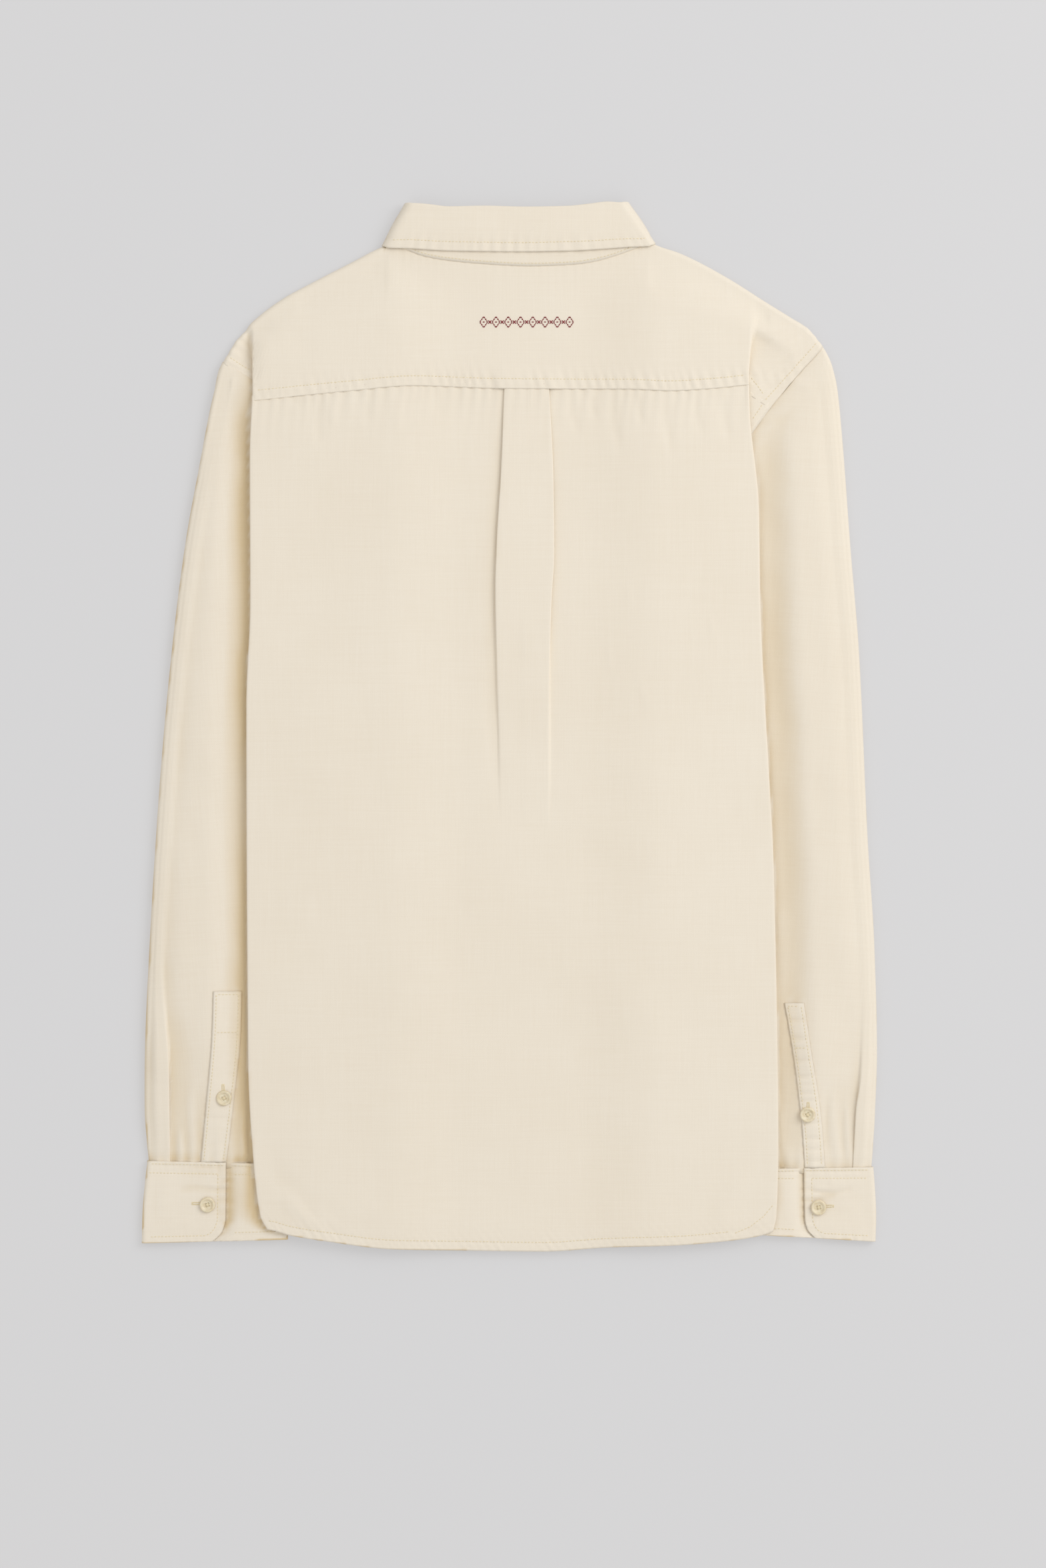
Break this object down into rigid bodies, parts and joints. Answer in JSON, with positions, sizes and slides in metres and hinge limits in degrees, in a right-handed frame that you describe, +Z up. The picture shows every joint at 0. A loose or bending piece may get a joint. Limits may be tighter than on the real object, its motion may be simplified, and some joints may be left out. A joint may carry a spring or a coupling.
{
  "type": "oxford shirt",
  "caption": "Long-sleeved button shirt laid flat with its back up, sides turned in, with yoke, box pleat, folded collar, buttoned cuffs and curved hem.",
  "frame": {"origin": "middle of the lay, on the floor that the fronts rest on", "axes": "+Z up from the floor through the back, +Y from the hem to the collar, +X towards the right sleeve"},
  "size_m": [0.5507, 0.7857, 0.0128],
  "materials": {
    "oxford_body": "soft cream cotton oxford weave",
    "oxford_sleeve": "soft cream cotton oxford weave, a little deeper in tone",
    "oxford_trim": "doubled cream cotton oxford weave with topstitching",
    "button_resin": "translucent cream resin"
  },
  "bodies": {
    "root": {"back": "oxford_body", "yoke": "oxford_body", "front_left": "oxford_body", "front_right": "oxford_body", "sleeve_left": "oxford_sleeve", "sleeve_right": "oxford_sleeve", "cuff_left": "oxford_trim", "cuff_right": "oxford_trim", "sleeve_placket_left": "oxford_trim", "sleeve_placket_right": "oxford_trim", "front_placket": "oxford_trim", "collar_stand": "oxford_trim", "collar_leaf": "oxford_trim", "cuff_button_left": "button_resin", "cuff_button_right": "button_resin", "placket_button_left": "button_resin", "placket_button_right": "button_resin", "front_button_1": "button_resin", "front_button_2": "button_resin", "front_button_3": "button_resin", "front_button_4": "button_resin", "front_button_5": "button_resin", "front_button_6": "button_resin", "collar_button": "button_resin"}
  },
  "joints": []
}
